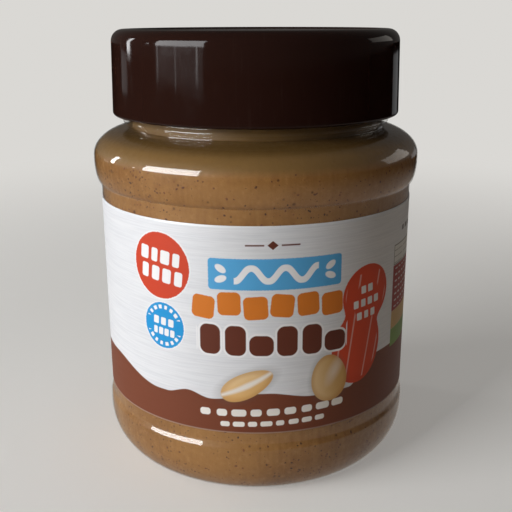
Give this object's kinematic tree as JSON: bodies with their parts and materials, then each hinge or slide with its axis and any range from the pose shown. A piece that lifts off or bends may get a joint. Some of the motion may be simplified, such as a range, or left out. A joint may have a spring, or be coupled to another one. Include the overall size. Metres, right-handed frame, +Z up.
{
  "type": "filled peanut butter jar",
  "caption": "Round clear plastic jar of peanut butter with rolled shoulder and heel, wrap label and tall dark screw lid.",
  "frame": {"origin": "centre of the round foot, on the surface that the jar stands on", "axes": "+Z up along the jar's axis; -Y is the label's front; +X to the right seen from the front"},
  "size_m": [0.074, 0.074, 0.0978],
  "materials": {
    "clear_plastic": "clear, glossy blown plastic",
    "lid_plastic": "smooth glossy dark brown",
    "label_film": "pearly silver-white film, satin",
    "peanut_butter": "smooth paste with fine dark skin specks"
  },
  "bodies": {
    "root": {"jar": "clear_plastic", "lid": "lid_plastic", "label": "label_film", "peanut_butter": "peanut_butter"}
  },
  "joints": []
}
